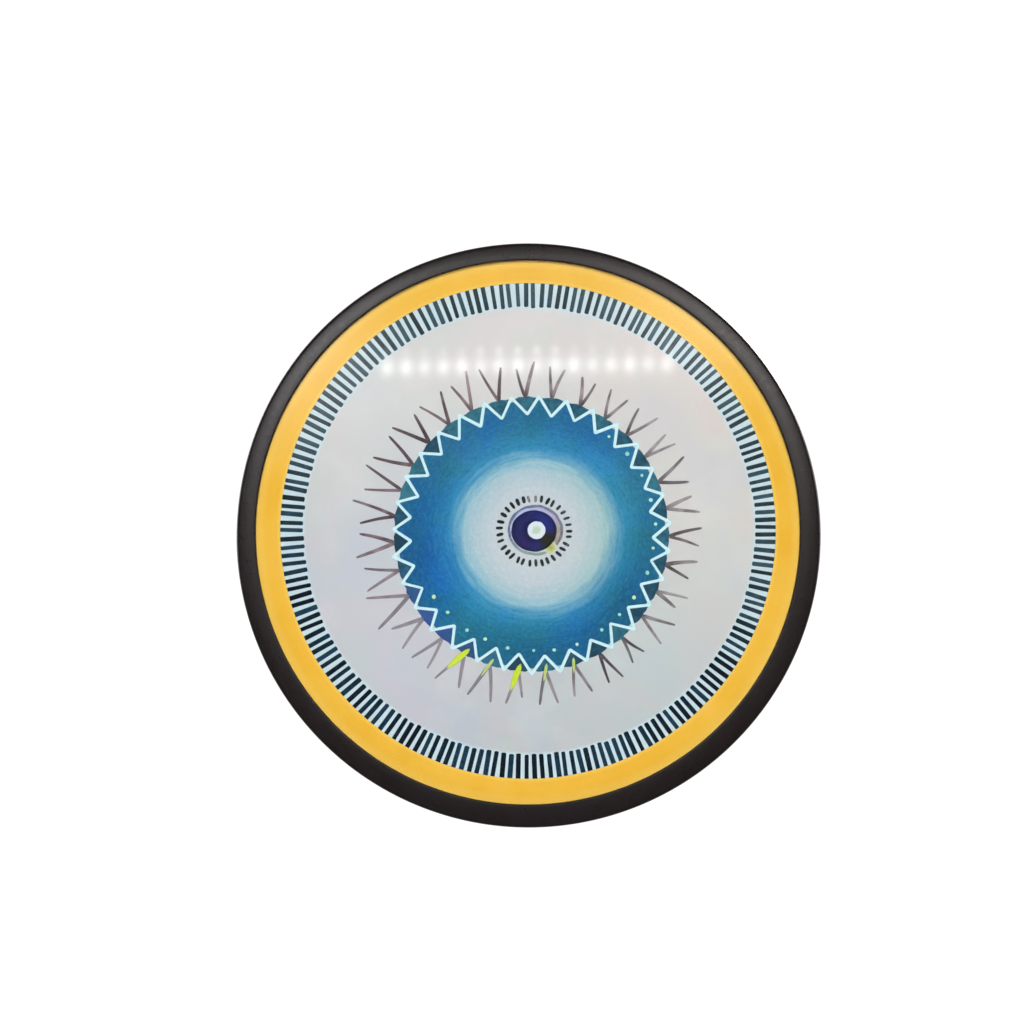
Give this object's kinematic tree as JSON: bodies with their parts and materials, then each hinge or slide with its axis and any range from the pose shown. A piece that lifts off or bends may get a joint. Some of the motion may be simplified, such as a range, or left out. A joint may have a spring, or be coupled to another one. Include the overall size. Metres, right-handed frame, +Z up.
{
  "type": "framed evil eye wall ornament",
  "caption": "Round glazed wall ornament with a slim dark ring frame, a yellow mat, a painted blue eye, swivelling turn buttons and a flip-up hanging eye.",
  "frame": {"origin": "centre of the hole in the hanging eye, in the middle of its thickness, where the wall hook carries the ornament", "axes": "+Z up, -Y towards the viewer, +Y towards the wall, +X to the viewer's right"},
  "size_m": [0.3, 0.0201, 0.3],
  "materials": {
    "dark_lacquer": "dark brown-black stain under satin lacquer",
    "clear_glass": "clear, polished",
    "yellow_mat": "matte coloured paper on mat board",
    "painted_card": "painted artwork on smooth card",
    "filler_card": "raw corrugated card",
    "fibreboard": "raw hardboard, brushed side out",
    "plated_steel": "zinc plated, stamped",
    "screw_steel": "yellow zinc plated",
    "rivet_steel": "nickel plated",
    "bumper_rubber": "matte black rubber"
  },
  "bodies": {
    "ornament": {"frame_ring": "dark_lacquer", "glazing_pane": "clear_glass", "mat_ring": "yellow_mat", "artwork_card": "painted_card", "filler_board": "filler_card", "backing_board": "fibreboard", "turn_button_screws": "screw_steel", "hanger_strap": "plated_steel", "hanger_rivets": "rivet_steel", "wall_bumper_left": "bumper_rubber", "wall_bumper_right": "bumper_rubber"},
    "button_1": {"turn_button_1": "plated_steel"},
    "button_2": {"turn_button_2": "plated_steel"},
    "button_3": {"turn_button_3": "plated_steel"},
    "button_4": {"turn_button_4": "plated_steel"},
    "button_5": {"turn_button_5": "plated_steel"},
    "button_6": {"turn_button_6": "plated_steel"},
    "hanger": {"hanger_eye": "plated_steel"}
  },
  "joints": [
    {"name": "button_1_swivel", "type": "hinge", "parent": "ornament", "child": "button_1", "pos_m": [0.12709, -0.00115, -0.03862], "axis": [0, 1, 0], "continuous": true},
    {"name": "button_2_swivel", "type": "hinge", "parent": "ornament", "child": "button_2", "pos_m": [0, -0.00115, 0.03475], "axis": [0, 1, 0], "continuous": true},
    {"name": "button_3_swivel", "type": "hinge", "parent": "ornament", "child": "button_3", "pos_m": [-0.12709, -0.00115, -0.03862], "axis": [0, 1, 0], "continuous": true},
    {"name": "button_4_swivel", "type": "hinge", "parent": "ornament", "child": "button_4", "pos_m": [-0.12709, -0.00115, -0.18538], "axis": [0, 1, 0], "continuous": true},
    {"name": "button_5_swivel", "type": "hinge", "parent": "ornament", "child": "button_5", "pos_m": [0, -0.00115, -0.25875], "axis": [0, 1, 0], "continuous": true},
    {"name": "button_6_swivel", "type": "hinge", "parent": "ornament", "child": "button_6", "pos_m": [0.12709, -0.00115, -0.18538], "axis": [0, 1, 0], "continuous": true},
    {"name": "eye_flip", "type": "hinge", "parent": "ornament", "child": "hanger", "pos_m": [0, 0, -0.011], "axis": [-1, 0, 0], "range_deg": [0, 180]}
  ]
}
